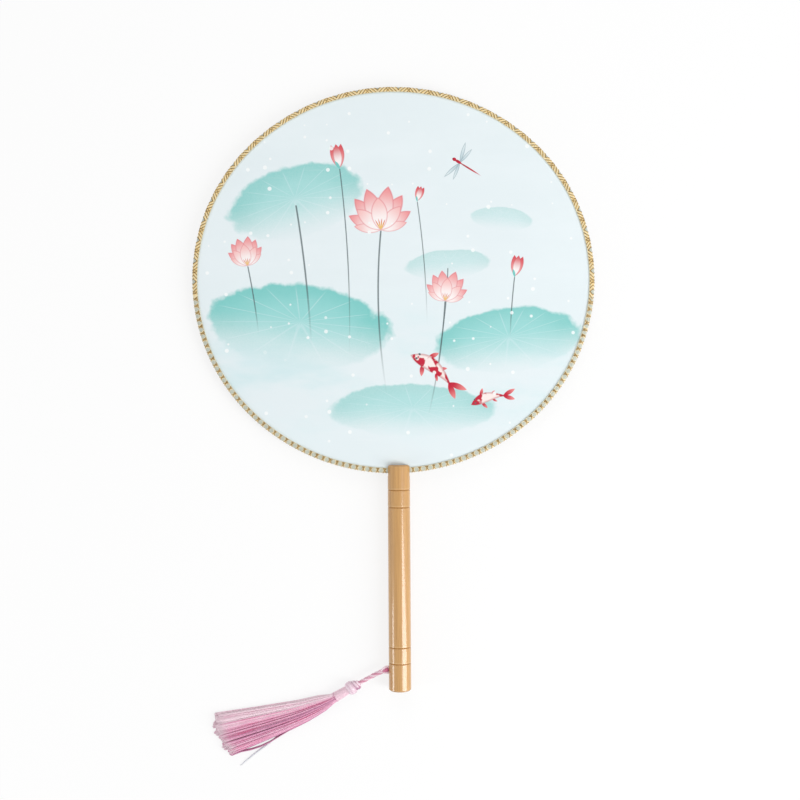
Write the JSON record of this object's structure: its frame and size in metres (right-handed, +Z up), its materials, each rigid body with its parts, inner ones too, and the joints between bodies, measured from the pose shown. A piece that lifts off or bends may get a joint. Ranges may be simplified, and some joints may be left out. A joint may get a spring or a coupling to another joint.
{
  "type": "round fan",
  "caption": "Round hand fan: silk stretched on both sides of a wire hoop, gold braid round the rim, turned bamboo handle and a thread tassel on a short cord.",
  "frame": {"origin": "on the table, under the middle of the fan's box without its tassel", "axes": "+Z up out of the face, +Y from the handle's end to the top of the face, +X across the face, to the right as seen from the front"},
  "size_m": [0.2654, 0.4479, 0.0148],
  "materials": {
    "bamboo": "gloss varnish",
    "steel": "drawn wire",
    "silk": "smooth satin",
    "gold_braid": "metallic thread",
    "pink_cord": "silky twist",
    "pink_band": "silky",
    "pink_thread": "silky thread"
  },
  "bodies": {
    "fan": {"handle": "bamboo", "hoop_wire": "steel", "front_silk": "silk", "back_silk": "silk", "rim_braid": "gold_braid", "cord_anchor": "pink_cord"},
    "cord": {"tassel_cord": "pink_cord"},
    "tassel": {"tassel_head": "pink_cord", "neck_band": "pink_band", "thread_bundle": "pink_thread", "lower_lock_1": "pink_thread", "lower_lock_2": "pink_thread", "lower_lock_3": "pink_thread", "lower_lock_4": "pink_thread", "lower_lock_5": "pink_thread", "lower_lock_6": "pink_thread", "upper_lock_1": "pink_thread", "upper_lock_2": "pink_thread", "upper_lock_3": "pink_thread", "upper_lock_4": "pink_thread", "upper_lock_5": "pink_thread", "loose_thread": "pink_thread"}
  },
  "joints": [
    {"name": "cord_swing", "type": "hinge", "parent": "fan", "child": "cord", "pos_m": [-0.0072, -0.1857, 0.0074], "axis": [0, 0, 1], "range_deg": [-95, 61]},
    {"name": "tassel_lift", "type": "hinge", "parent": "cord", "child": "tassel", "pos_m": [-0.0286, -0.19742, 0.0046], "axis": [-0.342, 0.9397, 0], "range_deg": [-75, 75]}
  ]
}
